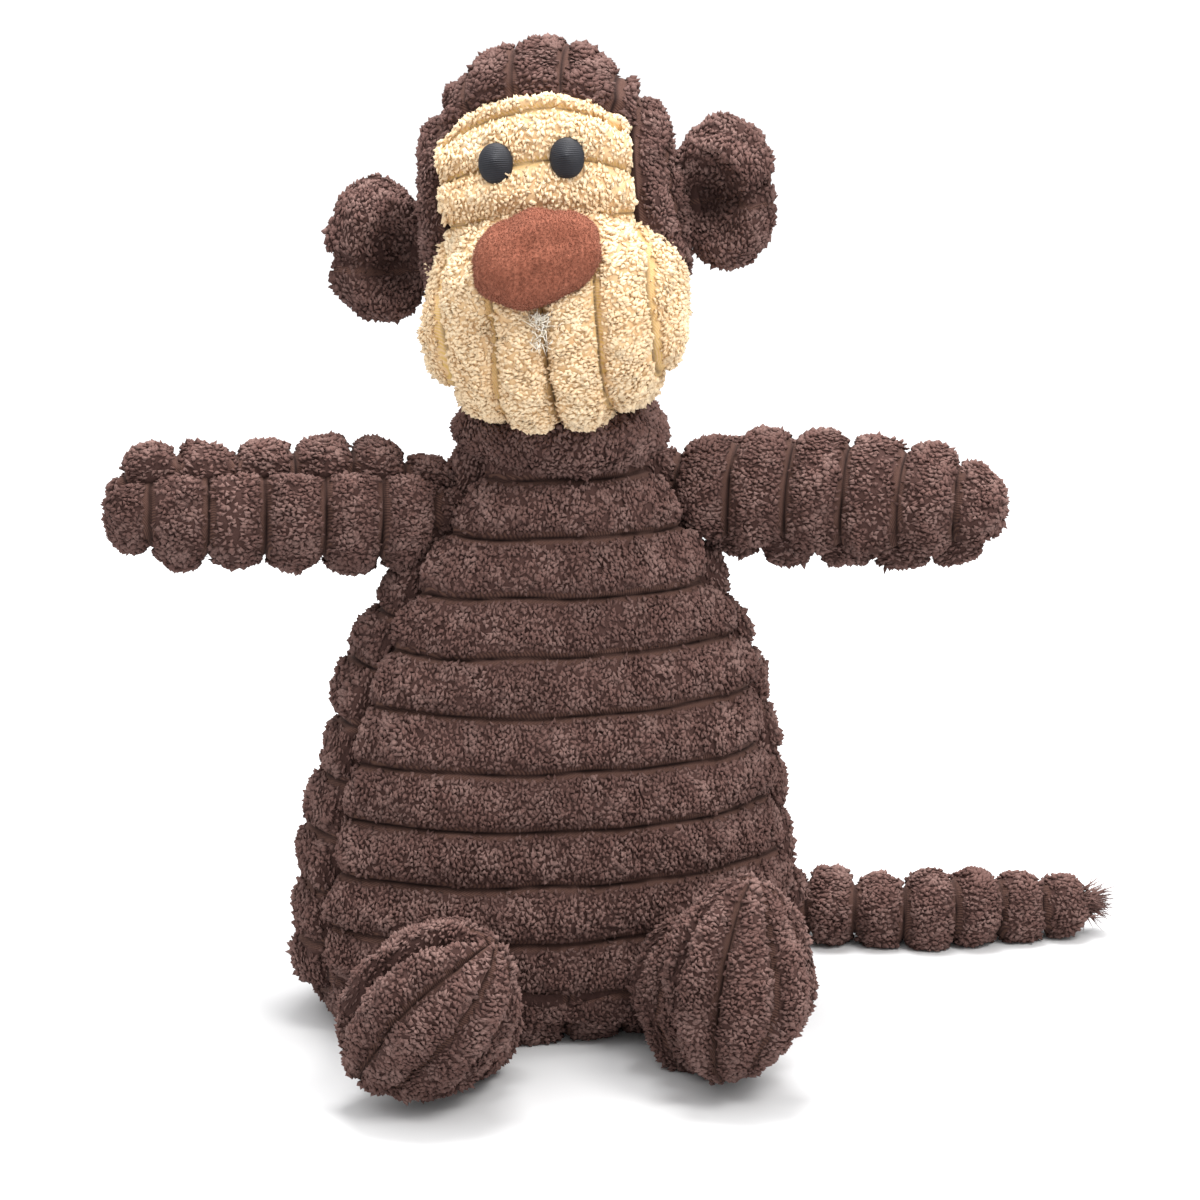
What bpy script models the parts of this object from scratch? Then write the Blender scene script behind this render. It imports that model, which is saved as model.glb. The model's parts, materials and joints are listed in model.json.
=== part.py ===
"""Stuffed monkey in wide-wale plush, sitting, with limp arms, stub legs and a beaded tail.

Metres, +Z up. The toy faces -Y and its right-hand side is at -X. The origin is the middle of
the flat seat under the body. Every fabric panel is its own closed solid around its stuffing.
"""

import math

import bmesh
import bpy
from mathutils import Matrix, Vector

# Driving dimensions
FABRIC = 0.0026          # backing and pile of the plush
GAP = 0.0004             # clearance between neighbouring pieces
JOINT_CLEARANCE = 0.0005 # clearance between a ball and the hollow that turns on it
SEAM_GAP = 0.0004        # clearance between two panels at their seam
HEAD_SLACK = 0.0014      # further clearance of the head's stuffing, whose facets differ

BODY_HEIGHT = 0.130      # seat to neck
BODY_LEAN = 0.004        # sideways slouch at the neck
BASE_RISE = 0.006        # height of the seam around the base panel
DISH_FILLET = 0.0016     # the base panel's inner floor is this much smaller than its outer one
# Height, half width and half depth of the body, seat to neck
BODY_OUTLINE = [
    (0.000, 0.047, 0.025),
    (0.006, 0.0545, 0.033),
    (0.020, 0.058, 0.037),
    (0.037, 0.057, 0.036),
    (0.056, 0.0535, 0.034),
    (0.075, 0.049, 0.031),
    (0.093, 0.0425, 0.027),
    (0.108, 0.034, 0.0235),
    (0.120, 0.0265, 0.0210),
    (0.130, 0.0235, 0.0205),
]
BODY_BACK = 0.002        # backward slouch at the neck

NECK_RADIUS = 0.022
NECK_BAND_ANGLE = 57     # degrees of the neck ball that the band covers
NECK_CORE_ANGLE = 20     # the neck's stuffing starts this high, so it can tilt

HEAD_CENTRE = Vector((0.0018, 0.001, 0.181))
HEAD_TURN = -15          # degrees about Z, towards -X
HEAD_ROLL = -5.5         # degrees, raises the +X side
HEAD_HALF = Vector((0.029, 0.026, 0.040))
FACE_EDGE = 0.22         # share of the head's width taken by each side panel
FACE_TOP = -53           # degrees around the head, 0 is straight ahead, negative is up
FACE_CHIN = 72
NAPE = 108

MUZZLE_CENTRE = Vector((0.0006, -0.0125, -0.0175))
MUZZLE_HALF = Vector((0.0298, 0.026, 0.0265))
NOSE_RISE = 33           # degrees above the muzzle's axis
NOSE_HALF = Vector((0.0140, 0.0106, 0.0060))
EYE_SPREAD = 0.0076
EYE_HEIGHT = 0.017
EYE_HALF = Vector((0.0034, 0.0044, 0.0019))

EAR_HALF = Vector((0.0095, 0.0050, 0.0150))
EAR_DEPTH_POSITION = 0.003
EAR_HEIGHTS = {"left": 0.004, "right": -0.004}
EAR_CUP = 0.0026         # radius of the ear's root about its hinge

SHOULDER_HEIGHT = 0.118
SHOULDER_REACH = 0.0425
SHOULDER_RADIUS = 0.012
ARM_HALF = Vector((0.0142, 0.0142, 0.0305))
ARM_END = 0.0595         # shoulder centre to the tip of the arm
# The toy's left is at +X
ARM_AZIMUTH = {"right": 178, "left": -20}
ARM_RISE = {"right": 1.5, "left": -1.5}

HIP_SPREAD = 0.030
HIP_DEPTH = -0.0462
HIP_HEIGHT = 0.0155
HIP_RADIUS = 0.0130
FOOT_HALF = Vector((0.0155, 0.0152, 0.0256))
FOOT_CENTRE = {
    "right": Vector((-0.0355, -0.0680, 0.0226)),
    "left": Vector((0.0320, -0.0685, 0.0259)),
}
FOOT_TURN = {"right": 16, "left": 18}      # degrees about Z, turns the sole towards +X
FOOT_TILT = {"right": 33, "left": 10}      # degrees about Y, leans the toe towards +X
FOOT_PITCH = {"right": 26, "left": -2}     # degrees about X, leans the toe forwards

TAIL_RADIUS = 0.0073
TAIL_LIFT = 0.0002
TAIL_POINTS = [
    Vector((0.000, 0.0460, TAIL_RADIUS + TAIL_LIFT)),
    Vector((0.050, 0.0385, TAIL_RADIUS + TAIL_LIFT)),
    Vector((0.097, 0.0275, TAIL_RADIUS + TAIL_LIFT)),
    Vector((0.1375, 0.0285, 0.0080)),
]
TAIL_TIP_RADIUS = 0.0058
TUFT_LENGTH = 0.0065
TUFT_RADIUS = 0.0032

COLOURS = {
    "brown_plush": ((0.150, 0.078, 0.066, 1.0), 0.95),
    "tan_plush": ((0.760, 0.545, 0.310, 1.0), 0.95),
    "rust_velour": ((0.330, 0.105, 0.055, 1.0), 0.90),
    "black_thread": ((0.012, 0.012, 0.018, 1.0), 0.45),
    "fibrefill": ((0.850, 0.840, 0.800, 1.0), 0.98),
}


def clear_scene():
    for item in list(bpy.data.objects):
        bpy.data.objects.remove(item, do_unlink=True)


def make_material(name):
    colour, roughness = COLOURS[name]
    material = bpy.data.materials.new(name)
    material.use_nodes = True
    shader = material.node_tree.nodes["Principled BSDF"]
    shader.inputs["Base Color"].default_value = colour
    shader.inputs["Roughness"].default_value = roughness
    shader.inputs["Metallic"].default_value = 0.0
    return material


def add_joint_frame(name, matrix, parent=None):
    """An empty on a joint's axis. matrix is its place in the world."""
    empty = bpy.data.objects.new(name, None)
    empty.empty_display_size = 0.01
    bpy.context.collection.objects.link(empty)
    if parent is None:
        empty.matrix_basis = matrix
    else:
        empty.parent = parent
        empty.matrix_basis = parent.matrix_world.inverted() @ matrix
    bpy.context.view_layer.update()
    return empty


def add_object(name, shape, parent, material):
    """Turns a bmesh into a named object under its joint's empty."""
    bmesh.ops.recalc_face_normals(shape, faces=shape.faces)
    mesh = bpy.data.meshes.new(name)
    shape.to_mesh(mesh)
    shape.free()
    mesh.shade_smooth()
    mesh.set_sharp_from_angle(angle=math.radians(50))
    mesh.materials.append(material)
    item = bpy.data.objects.new(name, mesh)
    bpy.context.collection.objects.link(item)
    item.parent = parent
    return item


def add_cutter(name, shape, parent):
    cutter = add_object(name, shape, parent, MATERIALS["fibrefill"])
    cutter.hide_render = True
    cutter.display_type = "WIRE"
    return cutter


def boolean(item, tool):
    """Cuts one object with another."""
    modifier = item.modifiers.new(tool.name, "BOOLEAN")
    modifier.operation = "DIFFERENCE"
    modifier.object = tool


def degrees(first, last, steps):
    """Evenly spaced angles in radians, both ends included."""
    return [math.radians(first + (last - first) * i / steps) for i in range(steps + 1)]


def shares(first, last, steps):
    return [first + (last - first) * i / steps for i in range(steps + 1)]


def signed_power(value, power):
    return math.copysign(abs(value) ** power, value)


def cushion(half, squareness=2.0, fullness=2.0):
    """A stuffed form with poles on its Z axis: a superellipsoid that an inset shrinks evenly."""
    def point(turn, along, inset=0.0):
        latitude = math.pi * (along - 0.5)
        across = signed_power(math.cos(latitude), 2 / fullness)
        x = (half[0] - inset) * across * signed_power(math.cos(turn), 2 / squareness)
        y = (half[1] - inset) * across * signed_power(math.sin(turn), 2 / squareness)
        z = (half[2] - inset) * signed_power(math.sin(latitude), 2 / fullness)
        return Vector((x, y, z))
    return point


def body_size(height):
    """Half width and half depth of the body at a height, smoothed between the outline's rows."""
    rows = BODY_OUTLINE
    index = 0
    while index < len(rows) - 2 and height > rows[index + 1][0]:
        index += 1
    low, high = rows[index], rows[index + 1]
    share = (height - low[0]) / (high[0] - low[0])
    return [low[k] + (high[k] - low[k]) * share for k in (1, 2)]


def body_form(turn, height, inset=0.0):
    """The body's surface: ovals whose middles lean a little with height."""
    half_width, half_depth = body_size(height)
    lean = (height / BODY_HEIGHT) ** 2
    x = BODY_LEAN * lean + (half_width - inset) * math.cos(turn)
    y = BODY_BACK * lean + (half_depth - inset) * math.sin(turn)
    return Vector((x, y, height))


def body_core(turn, height, inset):
    """The stuffing's surface: inside the panels, and well inside the base panel's dish."""
    in_dish = height < BASE_RISE
    surface = body_form(turn, 0.0 if in_dish else height, inset + (DISH_FILLET if in_dish else 0.0))
    surface.z = height
    return surface


def shifted(form, offset):
    """The same form moved by an offset."""
    def point(turn, along, inset=0.0):
        return form(turn, along, inset) + offset
    return point


def seam_side(sign):
    """Keeps a panel's points on one side of the seam plane y = 0."""
    def keep(point):
        point.y = sign * max(sign * point.y, SEAM_GAP / 2)
        return point
    return keep


def no_limit(point):
    return point


def add_face(shape, corners):
    unique = list(dict.fromkeys(corners))
    if len(unique) > 2 and shape.faces.get(unique) is None:
        shape.faces.new(unique)


def add_row(shape, points):
    """Vertices for one row, merged to a single one where the row shrinks to a pole."""
    if all((point - points[0]).length < 1e-6 for point in points):
        return [shape.verts.new(points[0])] * len(points)
    return [shape.verts.new(point) for point in points]


def panel(form, turns, alongs, limit=no_limit, ring=False, thickness=FABRIC):
    """A fabric panel: a patch of a form's surface with its thickness inwards."""
    shape = bmesh.new()
    skins = []
    for inset in (0.0, thickness):
        skins.append([add_row(shape, [limit(form(t, a, inset)) for t in turns]) for a in alongs])
    columns = len(turns)
    steps = range(columns) if ring else range(columns - 1)
    for skin in skins:
        for low, high in zip(skin, skin[1:]):
            for i in steps:
                j = (i + 1) % columns
                add_face(shape, (low[i], low[j], high[j], high[i]))
    outer, inner = skins
    for row in (0, -1):
        for i in steps:
            j = (i + 1) % columns
            add_face(shape, (outer[row][i], outer[row][j], inner[row][j], inner[row][i]))
    if not ring:
        for column in (0, -1):
            for row in range(len(alongs) - 1):
                add_face(shape, (outer[row][column], outer[row + 1][column],
                                 inner[row + 1][column], inner[row][column]))
    return shape


def filling(form, alongs, sides=16, inset=FABRIC + GAP):
    """A closed wad of stuffing inside a form, capped flat where the rows don't end in a pole."""
    shape = bmesh.new()
    turns = degrees(0, 360 * (sides - 1) / sides, sides - 1)
    rows = [add_row(shape, [form(t, a, inset) for t in turns]) for a in alongs]
    for low, high in zip(rows, rows[1:]):
        for i in range(sides):
            j = (i + 1) % sides
            add_face(shape, (low[i], low[j], high[j], high[i]))
    for row in (rows[0], rows[-1]):
        add_face(shape, row)
    return shape


def lathe(profile, sides=14):
    """A solid of revolution about Z from (radius, height) points."""
    def ring(turn, index, inset=0.0):
        radius, height = profile[index]
        return Vector((radius * math.cos(turn), radius * math.sin(turn), height))
    return filling(ring, range(len(profile)), sides, 0.0)


def ball(radius, sides=14, rows=8):
    return filling(cushion(Vector((radius, radius, radius))), shares(0, 1, rows), sides, 0.0)


def build_body(parent):
    brown, stuffing = MATERIALS["brown_plush"], MATERIALS["fibrefill"]
    heights = [row[0] for row in BODY_OUTLINE[1:]]
    heights[0] += GAP
    for name, first, last, sign in (("body_back_panel", 0, 180, 1), ("body_front_panel", 180, 360, -1)):
        half_turn = degrees(first, last, 11)
        shape = panel(body_form, half_turn, heights, limit=seam_side(sign))
        add_object(name, shape, parent, brown)
    shape = filling(body_core, [FABRIC + GAP] + heights[:-1] + [BODY_HEIGHT - GAP], sides=22)
    add_object("body_filling", shape, parent, stuffing)
    add_object("body_base_panel", base_panel(), parent, brown)


def base_panel():
    """A shallow dish: flat seat, turned-up rim, hollow above for the stuffing."""
    floor_half = BODY_OUTLINE[0][1:]
    rim_half = BODY_OUTLINE[1][1:]
    middle_half = [(a + b) / 2 + 0.0015 for a, b in zip(floor_half, rim_half)]
    rows = [
        (0.0, floor_half, 0.0),
        (0.0022, middle_half, 0.0),
        (BASE_RISE, rim_half, 0.0),
        (BASE_RISE, rim_half, FABRIC),
        (FABRIC, floor_half, DISH_FILLET),
    ]
    def dish(turn, index, inset=0.0):
        height, half, shrink = rows[index]
        return Vector(((half[0] - shrink) * math.cos(turn), (half[1] - shrink) * math.sin(turn), height))
    return filling(dish, range(len(rows)), 22, 0.0)


def build_neck(parent, core_parent):
    """A short collar around a cap of stuffing; the head sits on both."""
    core = NECK_RADIUS - FABRIC - GAP
    arc = [(core * math.cos(a), core * math.sin(a)) for a in degrees(NECK_CORE_ANGLE, 90, 5)]
    shape = lathe([(0.0, arc[0][1])] + arc[:-1] + [(0.0, core)], sides=18)
    add_object("neck_filling", shape, core_parent, MATERIALS["fibrefill"])
    inner = NECK_RADIUS - FABRIC
    shape = bmesh.new()
    turns = degrees(0, 340, 17)
    outline = [(NECK_RADIUS * math.cos(a), NECK_RADIUS * math.sin(a)) for a in degrees(0, NECK_BAND_ANGLE, 4)]
    outline += [(inner * math.cos(a), inner * math.sin(a)) for a in degrees(NECK_BAND_ANGLE, 0, 4)]
    rows = [add_row(shape, [Vector((r * math.cos(t), r * math.sin(t), z)) for t in turns]) for r, z in outline]
    for low, high in zip(rows, rows[1:] + rows[:1]):
        for i in range(len(turns)):
            j = (i + 1) % len(turns)
            add_face(shape, (low[i], low[j], high[j], high[i]))
    add_object("neck_band", shape, parent, MATERIALS["brown_plush"])


# The head's form has its poles at the sides: its axes (x, y, z) are forwards, down and +X
HEAD_AXES = Matrix(((0, 0, 1), (-1, 0, 0), (0, -1, 0)))
# The muzzle's form has its poles front and back: its axes (x, y, z) are -X, up and forwards
MUZZLE_AXES = Matrix(((-1, 0, 0), (0, 0, -1), (0, 1, 0)))


def turned(form, axes, offset=Vector((0, 0, 0))):
    def point(turn, along, inset=0.0):
        return axes @ form(turn, along, inset) + offset
    return point


def head_form():
    half = Vector((HEAD_HALF.y, HEAD_HALF.z, HEAD_HALF.x))
    return turned(cushion(half, squareness=2.1, fullness=2.3), HEAD_AXES)


def muzzle_form():
    half = Vector((MUZZLE_HALF.x, MUZZLE_HALF.z, MUZZLE_HALF.y))
    return turned(cushion(half, squareness=2.4, fullness=2.2), MUZZLE_AXES, MUZZLE_CENTRE)


def build_head(parent, neck_centre):
    brown, tan, stuffing = MATERIALS["brown_plush"], MATERIALS["tan_plush"], MATERIALS["fibrefill"]
    head, muzzle = head_form(), muzzle_form()
    to_head = parent.matrix_world.inverted()

    socket = ball(NECK_RADIUS + JOINT_CLEARANCE, sides=24, rows=14)
    bmesh.ops.transform(socket, matrix=to_head @ Matrix.Translation(neck_centre), verts=socket.verts)
    socket = add_cutter("neck_socket_cutter", socket, parent)
    skull = add_cutter("head_clearance_cutter", filling(head, shares(0, 1, 16), 32, -GAP), parent)
    snout = add_cutter("muzzle_clearance_cutter", filling(muzzle, shares(0, 1, 14), 28, -GAP), parent)

    ring = degrees(0, 345, 15)
    edge, seam = FACE_EDGE, 0.0045
    cap_rows = shares(0, edge, 3)
    pieces = [
        ("head_side_right", panel(head, ring, cap_rows, ring=True), brown),
        ("head_side_left", panel(head, ring, [1 - a for a in cap_rows], ring=True), brown),
    ]
    band = shares(edge + seam, 1 - edge - seam, 6)
    slit = 0.8
    pieces += [
        ("face_panel", panel(head, degrees(FACE_TOP, FACE_CHIN, 7), band), tan),
        ("head_crown_panel", panel(head, degrees(FACE_TOP - slit, NAPE - 360, 12), band), brown),
    ]
    for name, shape, material in pieces:
        boolean(add_object(name, shape, parent, material), socket)
    core = FABRIC + GAP + HEAD_SLACK
    item = add_object("head_filling", filling(head, shares(0, 1, 10), 20, core), parent, stuffing)
    boolean(item, socket)

    front = shares(0.975, 0.34, 6)
    seams = ((18, 162, "muzzle_upper_panel", 7), (163, 269.4, "muzzle_lower_left_panel", 5),
             (270.6, 377, "muzzle_lower_right_panel", 5))
    for first, last, name, steps in seams:
        item = add_object(name, panel(muzzle, degrees(first, last, steps), front), parent, tan)
        boolean(item, skull)
        boolean(item, socket)
    item = add_object("muzzle_filling", filling(muzzle, shares(0, 1, 9), 18, core), parent, stuffing)
    boolean(item, skull)
    boolean(item, socket)

    nose_way = Matrix.Rotation(math.radians(90 - NOSE_RISE), 4, "X")
    height = (NOSE_RISE / 90) * 0.5
    nose_spot = muzzle(math.radians(90), 1 - height, -0.0006)
    shape = filling(cushion(NOSE_HALF), shares(0, 1, 8), 16, 0.0)
    bmesh.ops.transform(shape, matrix=Matrix.Translation(nose_spot) @ nose_way, verts=shape.verts)
    boolean(add_object("nose", shape, parent, MATERIALS["rust_velour"]), snout)

    up = -math.asin(EYE_HEIGHT / HEAD_HALF.z)
    for name, sign in (("eye_right", -1), ("eye_left", 1)):
        along = 0.5 + math.asin(sign * EYE_SPREAD / HEAD_HALF.x) / math.pi
        spot = head(up, along, -0.0004)
        shape = filling(cushion(EYE_HALF), shares(0, 1, 6), 12, 0.0)
        way = Matrix.Rotation(math.radians(90) + 0.5 * up, 4, "X")
        bmesh.ops.transform(shape, matrix=Matrix.Translation(spot) @ way, verts=shape.verts)
        boolean(add_object(name, shape, parent, MATERIALS["black_thread"]), skull)


def build_ear(side, parent):
    """Two plush discs sewn edge to edge; the root's rounding is centred on the hinge."""
    sign = -1 if side == "right" else 1
    form = shifted(cushion(EAR_HALF, fullness=2.1), Vector((sign * (EAR_HALF.x - EAR_CUP), 0, 0)))
    for name, first, last, face in (("front", 180, 360, -1), ("back", 0, 180, 1)):
        shape = filling_half(form, degrees(first, last, 7), shares(0, 1, 8), seam_side(face))
        add_object(f"ear_{side}_{name}", shape, parent, MATERIALS["brown_plush"])


def filling_half(form, turns, alongs, limit):
    """Half of a form, closed by a flat face along its seam."""
    shape = bmesh.new()
    rows = [add_row(shape, [limit(form(t, a)) for t in turns]) for a in alongs]
    for low, high in zip(rows, rows[1:]):
        for i in range(len(turns) - 1):
            add_face(shape, (low[i], low[i + 1], high[i + 1], high[i]))
        add_face(shape, (low[0], low[-1], high[-1], high[0]))
    return shape


def build_arm(side, shoulder, parent):
    """Front and back panels around a wad; the hollow root rides on the shoulder's ball."""
    brown, stuffing = MATERIALS["brown_plush"], MATERIALS["fibrefill"]
    add_object(f"shoulder_{side}_filling", ball(SHOULDER_RADIUS), shoulder, stuffing)
    cup = add_cutter(f"shoulder_{side}_cutter", ball(SHOULDER_RADIUS + JOINT_CLEARANCE, 20, 12), parent)
    form = shifted(cushion(ARM_HALF, fullness=2.7), Vector((0, 0, ARM_END - ARM_HALF.z)))
    rows = shares(0, 1, 9)
    for name, first, last, face in (("front", 180, 360, -1), ("back", 0, 180, 1)):
        shape = panel(form, degrees(first, last, 7), rows, limit=seam_side(face))
        boolean(add_object(f"arm_{side}_{name}_panel", shape, parent, brown), cup)
    boolean(add_object(f"arm_{side}_filling", filling(form, rows, 14), parent, stuffing), cup)


def build_leg(side, hip_frame, parent, hip):
    """A foot of two panels around a wad, sole forwards; its back is hollowed for the hip's ball."""
    brown, stuffing = MATERIALS["brown_plush"], MATERIALS["fibrefill"]
    add_object(f"hip_{side}_filling", ball(HIP_RADIUS), hip_frame, stuffing)
    way = Matrix.Rotation(math.radians(FOOT_TURN[side]), 4, "Z")
    way = way @ Matrix.Rotation(math.radians(FOOT_TILT[side]), 4, "Y")
    way = way @ Matrix.Rotation(math.radians(FOOT_PITCH[side]), 4, "X")
    place = Matrix.Translation(FOOT_CENTRE[side] - hip) @ way
    form = cushion(FOOT_HALF, fullness=2.3)
    cup = add_cutter(f"hip_{side}_cutter", ball(HIP_RADIUS + JOINT_CLEARANCE, 20, 12), parent)
    rows = shares(0, 1, 8)
    pieces = [
        (f"foot_{side}_sole_panel", panel(form, degrees(180, 360, 7), rows, limit=seam_side(-1)), brown),
        (f"foot_{side}_upper_panel", panel(form, degrees(0, 180, 7), rows, limit=seam_side(1)), brown),
        (f"leg_{side}_filling", filling(form, rows, 14), stuffing),
    ]
    for name, shape, material in pieces:
        bmesh.ops.transform(shape, matrix=place, verts=shape.verts)
        boolean(add_object(name, shape, parent, material), cup)


def build_tail(frames):
    """Three lengths of plush tube, each with a ball end on its hinge, and a raw tuft."""
    names = ("tail_base", "tail_middle", "tail_end")
    for index, (name, frame) in enumerate(zip(names, frames)):
        length = (TAIL_POINTS[index + 1] - TAIL_POINTS[index]).length
        last = index == len(names) - 1
        reach = length if last else length - TAIL_RADIUS - JOINT_CLEARANCE
        end_radius = TAIL_TIP_RADIUS if last else TAIL_RADIUS
        profile = [(TAIL_RADIUS * math.cos(a), TAIL_RADIUS * math.sin(a)) for a in degrees(-90, 0, 4)]
        profile[0] = (0.0, -TAIL_RADIUS)
        profile += [(end_radius, reach - 0.0015), (end_radius - 0.0012, reach), (0.0, reach)]
        add_object(name, lathe(profile, 12), frame, MATERIALS["brown_plush"])
        if last:
            start = reach + GAP
            tuft = [(0.0, start), (TUFT_RADIUS * 0.8, start), (TUFT_RADIUS, start + TUFT_LENGTH * 0.7),
                    (TUFT_RADIUS * 0.7, start + TUFT_LENGTH), (0.0, start + TUFT_LENGTH)]
            add_object("tail_tuft", lathe(tuft, 10), frame, MATERIALS["brown_plush"])


def along_axis(origin, direction):
    """A frame at origin whose Z axis is the direction and whose X axis is level."""
    z = direction.normalized()
    x = Vector((0, 0, 1)).cross(z).normalized()
    y = z.cross(x)
    matrix = Matrix((x, y, z)).transposed().to_4x4()
    matrix.translation = origin
    return matrix


def arm_matrix(side, origin):
    """The arm's frame: Z along the arm, Y backwards, so its seam runs along the top and bottom."""
    azimuth, rise = math.radians(ARM_AZIMUTH[side]), math.radians(ARM_RISE[side])
    z = Vector((math.cos(azimuth) * math.cos(rise), math.sin(azimuth) * math.cos(rise), math.sin(rise)))
    y = (Vector((0, 1, 0)) - z * z.y).normalized()
    x = y.cross(z)
    matrix = Matrix((x, y, z)).transposed().to_4x4()
    matrix.translation = origin
    return matrix


def main():
    body = add_joint_frame("body_frame", Matrix.Identity(4))
    build_body(body)

    neck_centre = Vector((BODY_LEAN, BODY_BACK, BODY_HEIGHT + 0.0008))
    neck = add_joint_frame("neck_frame", Matrix.Translation(neck_centre), body)
    core = add_joint_frame("neck_core_frame", Matrix.Translation(neck_centre), neck)
    build_neck(neck, core)

    tilt = Matrix.Rotation(math.radians(HEAD_TURN), 4, "Z") @ Matrix.Rotation(math.radians(HEAD_ROLL), 4, "Y")
    head_matrix = Matrix.Translation(HEAD_CENTRE) @ tilt
    head = add_joint_frame("head_frame", head_matrix, core)
    build_head(head, neck_centre)

    for side, sign in (("right", -1), ("left", 1)):
        hinge = sign * (HEAD_HALF.x + EAR_CUP + 0.0006)
        local = Matrix.Translation(Vector((hinge, EAR_DEPTH_POSITION, EAR_HEIGHTS[side])))
        build_ear(side, add_joint_frame(f"ear_{side}_frame", head_matrix @ local, head))

        lean = BODY_LEAN * (SHOULDER_HEIGHT / BODY_HEIGHT) ** 2
        origin = Vector((lean + sign * SHOULDER_REACH, BODY_BACK, SHOULDER_HEIGHT))
        shoulder = add_joint_frame(f"shoulder_{side}_frame", arm_matrix(side, origin), body)
        arm = add_joint_frame(f"arm_{side}_frame", arm_matrix(side, origin), shoulder)
        build_arm(side, shoulder, arm)

        hip = Vector((sign * HIP_SPREAD, HIP_DEPTH, HIP_HEIGHT))
        hip_frame = add_joint_frame(f"hip_{side}_frame", Matrix.Translation(hip), body)
        leg = add_joint_frame(f"leg_{side}_frame", Matrix.Translation(hip), hip_frame)
        build_leg(side, hip_frame, leg, hip)

    frames, parent = [], body
    for start, end in zip(TAIL_POINTS, TAIL_POINTS[1:]):
        parent = add_joint_frame(f"tail_frame_{len(frames)}", along_axis(start, end - start), parent)
        frames.append(parent)
    build_tail(frames)


clear_scene()
MATERIALS = {name: make_material(name) for name in COLOURS}
main()
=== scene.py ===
"""The looks of the stuffed monkey: wide-wale plush panels, pile, embroidery, floor, light and camera.

Every panel is a grid of points on a stuffed form, with its wales, seams and wrinkles as relief in
the mesh. Its pile is a second piece, of small closed buds or fibres, that moves as the panel does.
All forms are made in code, with no cloth simulation. Lengths are in metres and angles in degrees.
"""
import json
import math

import bpy
import numpy as np
from mathutils import Matrix, Vector


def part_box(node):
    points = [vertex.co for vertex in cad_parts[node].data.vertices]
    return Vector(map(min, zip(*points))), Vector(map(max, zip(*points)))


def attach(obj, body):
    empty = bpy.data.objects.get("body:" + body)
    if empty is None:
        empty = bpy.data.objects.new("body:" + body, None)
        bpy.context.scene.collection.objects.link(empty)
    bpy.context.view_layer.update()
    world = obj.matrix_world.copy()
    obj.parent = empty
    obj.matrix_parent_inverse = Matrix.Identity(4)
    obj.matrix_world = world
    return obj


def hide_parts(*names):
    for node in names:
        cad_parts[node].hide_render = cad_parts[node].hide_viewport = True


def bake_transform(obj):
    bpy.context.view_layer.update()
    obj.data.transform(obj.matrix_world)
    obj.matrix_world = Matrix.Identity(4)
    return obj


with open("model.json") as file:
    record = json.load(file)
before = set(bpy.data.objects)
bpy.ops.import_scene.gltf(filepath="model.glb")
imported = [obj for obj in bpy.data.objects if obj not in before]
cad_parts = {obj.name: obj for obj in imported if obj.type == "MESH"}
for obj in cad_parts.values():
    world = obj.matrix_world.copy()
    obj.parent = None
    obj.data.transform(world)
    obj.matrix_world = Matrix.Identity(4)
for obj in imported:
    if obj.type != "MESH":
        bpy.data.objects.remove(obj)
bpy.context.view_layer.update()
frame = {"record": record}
JOINTS = {joint["name"]: joint for joint in frame["record"]["behaviour"]["joints"]}

# Fabric: GRAIN is the spacing of a panel's points, PITCH the distance from groove to groove
GRAIN = 0.00062
PITCH = 0.0130
WALE_RISE = 0.0034
WALE_FLATNESS = 2.2
WALE_FULLNESS = 0.62
WALE_DRIFT = 0.03
WALE_DRIFT_SIZE = 0.030
WALE_LOWEST = 0.88
WALE_VARIETY = 0.24
WALE_AT_SEAM = 0.35
WALE_SINK = 0.90
GROOVE_HALF = 0.0014
SEAM_REACH = 0.0032
SEAM_TUCK = 0.0016
HEM = 0.0030
WRINKLE = 0.0008
WRINKLE_SIZE = 0.022
PUCKER = 0.0006
PUCKER_SIZE = 0.009
PUCKER_REACH = 0.007
UNEVEN = 0.0003
UNEVEN_SIZE = 0.006
CLOTH_FLOOR = 0.0003

# Pile: a step is the distance between roots, and a spread the range of a random share
TUFT_LENGTH = 0.00165
TUFT_WIDTH = 0.00098
TUFT_HEIGHT = 0.00072
TUFT_STEP = 0.0009
BACK_TUFT_STEP = 0.00104
LENGTH_SPREAD = (0.35, 0.70)
WIDTH_SPREAD = (0.42, 0.66)
HEIGHT_SPREAD = (0.5, 1.35)
TUFT_TWIST = 0.5
TUFT_SCATTER = 0.00030
TUFT_LEAN = 0.00015
BRUSHED_LEAN = 0.00050
BRUSHED_SIZE = 0.0065
PARTED_LEAN = 0.00045
PARTED_HEIGHT = 0.30
PARTED_SIZE = 0.0080
TONE_SIZE = 0.0060
TUFT_CORNERS = 7
CONE_CORNERS = 4
CONE_SUNK = 0.25
PILE_FLOOR = 0.0002
VELOUR_STEP = 0.00042
VELOUR_LENGTH = 0.0009
VELOUR_RADIUS = 0.00011

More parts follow.
